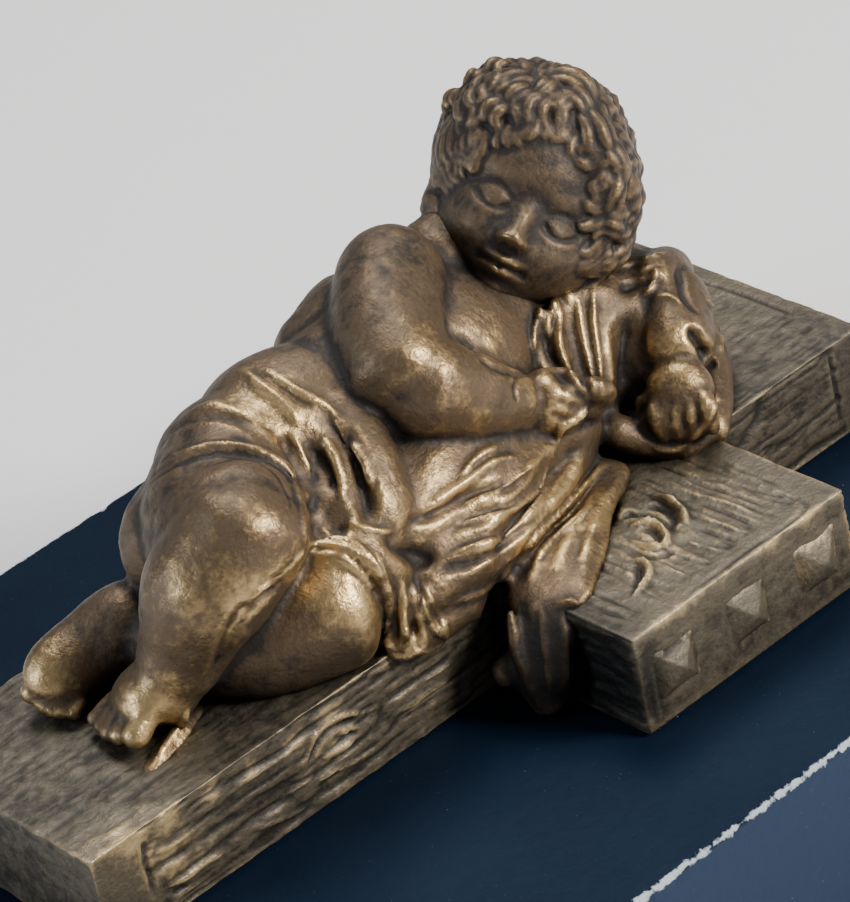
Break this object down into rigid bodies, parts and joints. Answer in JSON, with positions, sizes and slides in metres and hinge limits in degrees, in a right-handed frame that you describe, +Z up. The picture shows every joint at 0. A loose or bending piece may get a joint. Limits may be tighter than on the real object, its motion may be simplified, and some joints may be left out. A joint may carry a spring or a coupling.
{
  "type": "bronze sleeping putto on a cross",
  "caption": "Cast bronze putto asleep on drapery over a timber-grained cross, fixed on a rectangular black stone slab.",
  "frame": {"origin": "centre of the stone slab's underside", "axes": "+X from the foot of the cross to its head, +Y from the front to the back, +Z up"},
  "size_m": [0.157, 0.1206, 0.084],
  "materials": {
    "bronze": "old brown patina with rubbed golden high spots",
    "stone": null
  },
  "bodies": {
    "root": {"bronze_putto_on_cross": "bronze", "stone_slab": "stone"}
  },
  "joints": []
}
